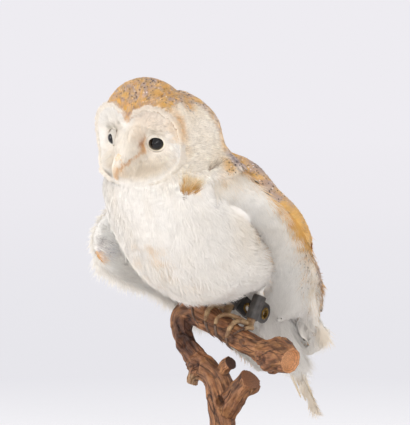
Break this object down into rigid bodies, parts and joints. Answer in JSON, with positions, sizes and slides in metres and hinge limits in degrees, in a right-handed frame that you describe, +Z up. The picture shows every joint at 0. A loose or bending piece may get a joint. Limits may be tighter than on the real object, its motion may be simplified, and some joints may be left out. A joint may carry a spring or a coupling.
{
  "type": "taxidermy barn owl on branch perch",
  "caption": "Mounted barn owl with half-opened wings, wearing leather ankle cuffs, gripping a crooked vine branch on a round turned base.",
  "frame": {"origin": "centre of the base's flat underside", "axes": "+Z up; the bird's body faces -Y and its left side is +X, as built with the owl looking -Y turned a little to its left"},
  "size_m": [0.2058, 0.3074, 0.4125],
  "materials": {
    "plumage": "soft white body feathers, gold on the crown and nape",
    "wing_plumage": "gold and grey speckled upper feathers, white underside, barred flight feathers",
    "bill": "satin peach-pink horn",
    "eye": "polished black glass",
    "toe_skin": "dry buff scaly skin",
    "talon": "satin dark horn",
    "cuff_leather": "dark grey worn leather",
    "eyelet_brass": "aged brass",
    "vine_wood": "varnished gnarled vine bark with pale sawn ends",
    "base_wood": "dark stained and polished turned wood"
  },
  "bodies": {
    "root": {"head": "plumage", "beak_upper": "bill", "beak_lower": "bill", "neck": "plumage", "trunk": "plumage", "tail": "plumage", "perch_branch": "vine_wood", "stand_base": "base_wood", "eye_left": "eye", "eye_right": "eye", "wing_left": "wing_plumage", "wing_right": "wing_plumage", "leg_left": "plumage", "leg_right": "plumage", "foot_left": "toe_skin", "foot_right": "toe_skin", "talon_left_1": "talon", "talon_left_2": "talon", "talon_left_3": "talon", "talon_left_4": "talon", "talon_right_1": "talon", "talon_right_2": "talon", "talon_right_3": "talon", "talon_right_4": "talon", "cuff_left": "cuff_leather", "cuff_right": "cuff_leather", "eyelet_left": "eyelet_brass", "eyelet_right": "eyelet_brass"}
  },
  "joints": []
}
